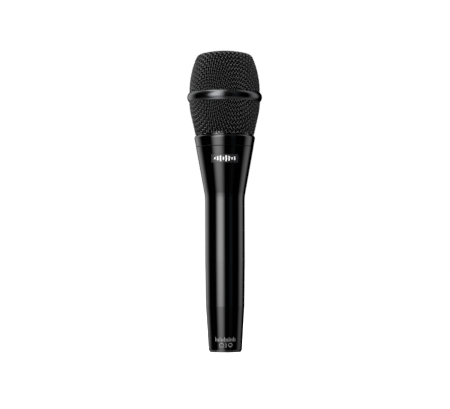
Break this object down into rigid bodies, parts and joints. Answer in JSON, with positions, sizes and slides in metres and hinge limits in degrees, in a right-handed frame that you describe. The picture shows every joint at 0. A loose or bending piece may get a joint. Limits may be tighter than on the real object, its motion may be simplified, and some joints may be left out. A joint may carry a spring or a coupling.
{
  "type": "handheld condenser microphone",
  "caption": "Handheld vocal microphone with a two-part woven wire grille, rounded metal band, threaded collar, slim tapered handle and three-pin connector in the butt.",
  "frame": {"origin": "centre of the butt's rim, where the microphone would stand", "axes": "+Z along the axis from the butt to the top of the grille, -Y the side with the badge, +X to the right of that side"},
  "size_m": [0.0476, 0.0476, 0.191],
  "materials": {
    "black_enamel": "gloss",
    "badge_plate": "satin",
    "neck_zinc": "satin",
    "black_plastic": "matte",
    "white_plastic": "satin",
    "steel": "satin",
    "gasket_rubber": "matte",
    "mount_rubber": "matte",
    "spring_bronze": "polished",
    "dark_chrome": "polished",
    "black_wire": "satin",
    "dark_foam": "matte",
    "capsule_brass": "satin",
    "gold_film": "polished",
    "board_green": "satin",
    "can_aluminium": "satin",
    "film_red": "gloss",
    "resistor_tan": "gloss",
    "gold_pin": "polished",
    "wire_insulation": "satin"
  },
  "bodies": {
    "handle": {"handle": "black_enamel", "badge": "badge_plate", "neck_ring": "neck_zinc", "deck": "black_plastic", "deck_screws": "steel", "switch_pedestal": "black_plastic", "pattern_switch_body": "steel", "shock_mount": "mount_rubber", "board_carrier": "black_plastic", "preamp_board": "board_green", "board_screws": "steel", "electrolytic_capacitors": "can_aluminium", "film_capacitors": "film_red", "transistors": "black_plastic", "resistors": "resistor_tan", "amplifier_chip": "black_plastic", "lower_header": "white_plastic", "upper_header": "white_plastic", "connector_insert": "black_plastic", "pin_board": "board_green", "connector_pin_1": "gold_pin", "connector_pin_2": "gold_pin", "connector_pin_3": "gold_pin", "insert_lock_screw": "steel", "output_wires": "wire_insulation", "board_leads": "wire_insulation", "capsule_leads": "wire_insulation", "switch_leads": "wire_insulation"},
    "gasket": {"grille_gasket": "gasket_rubber"},
    "ground_ring": {"ground_spring": "spring_bronze"},
    "grille": {"grille_collar": "black_enamel", "grille_band": "dark_chrome", "lower_grille_mesh": "black_wire", "upper_grille_mesh": "black_wire", "lower_fine_screen": "black_wire", "upper_fine_screen": "black_wire", "lower_foam": "dark_foam", "upper_foam": "dark_foam"},
    "switch_slider": {"pattern_switch_slider": "white_plastic"},
    "capsule": {"capsule_cradle": "black_plastic", "capsule_housing": "capsule_brass", "rear_clamp_ring": "capsule_brass", "rear_diaphragm": "gold_film", "rear_backplate": "capsule_brass", "capsule_insulator": "white_plastic", "front_backplate": "capsule_brass", "front_diaphragm": "gold_film", "front_clamp_ring": "capsule_brass", "capsule_screws": "steel", "capsule_retainer": "capsule_brass", "capsule_screen": "steel"}
  },
  "joints": [
    {"name": "grille_lift_off", "type": "slide", "parent": "handle", "child": "gasket", "axis": [0, 0, 1], "range_m": [0, 0.075]},
    {"name": "grille_unscrew", "type": "hinge", "parent": "gasket", "child": "ground_ring", "pos_m": [0, 0, 0.1377], "axis": [0, 0, 1], "range_deg": [0, 1440]},
    {"name": "grille_rise", "type": "slide", "parent": "ground_ring", "child": "grille", "axis": [0, 0, 1], "range_m": [0, 0.004]},
    {"name": "pattern_switch", "type": "slide", "parent": "handle", "child": "switch_slider", "axis": [1, 0, 0], "range_m": [0, 0.0024]},
    {"name": "capsule_float", "type": "slide", "parent": "handle", "child": "capsule", "axis": [0, 0, 1], "range_m": [-0.0008, 0.0008], "stiffness_N_per_m": 1500, "deforming": ["shock_mount", "capsule_leads"]}
  ],
  "couplings": [
    {"joint": "grille_rise", "follows": "grille_unscrew", "m_per_rad": 0.00015915}
  ]
}
